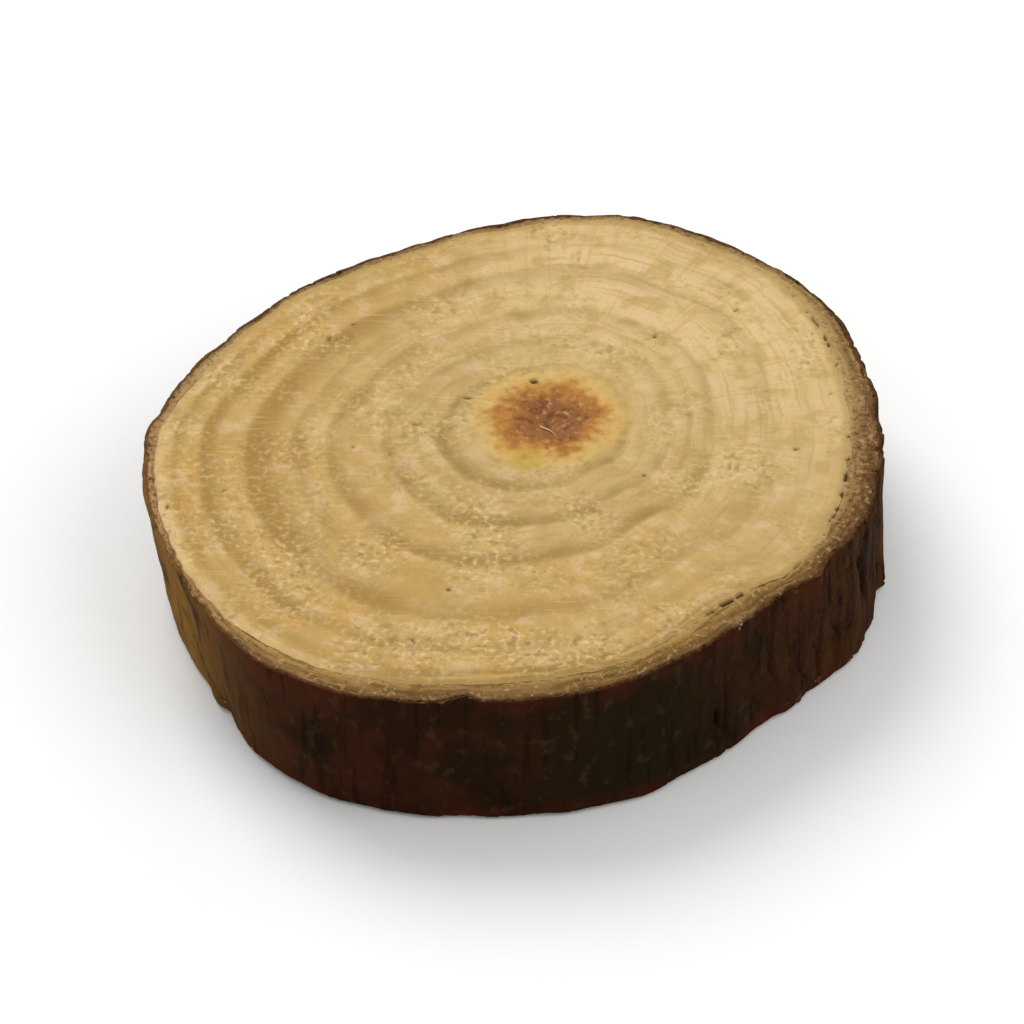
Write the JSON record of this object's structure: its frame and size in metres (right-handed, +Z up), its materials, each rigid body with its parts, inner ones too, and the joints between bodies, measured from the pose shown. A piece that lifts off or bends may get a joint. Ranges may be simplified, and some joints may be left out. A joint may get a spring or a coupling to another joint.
{
  "type": "wood slice",
  "caption": "Flat slice sawn across a small branch: pale cut faces with growth rings and an off-centre brown pith, with thin dark bark all round its edge.",
  "frame": {"origin": "middle of the slice's box, on the plane of the lower cut that it lies on", "axes": "+Z up through the slice's thickness, along the branch; +X to the right and +Y away as the picture sees it"},
  "size_m": [0.0314, 0.0314, 0.0068],
  "materials": {
    "wood": "sawn end grain, pale tan with soft darker growth rings, matt, a brown stain at the pith",
    "inner_bark": "fibrous tan to reddish brown inner bark, a thin line round each cut, matt",
    "bark": "thin dark brown to maroon bark, fairly smooth, a low sheen, grey specks and short cracks"
  },
  "bodies": {
    "root": {"wood_slice": "wood"}
  },
  "joints": []
}
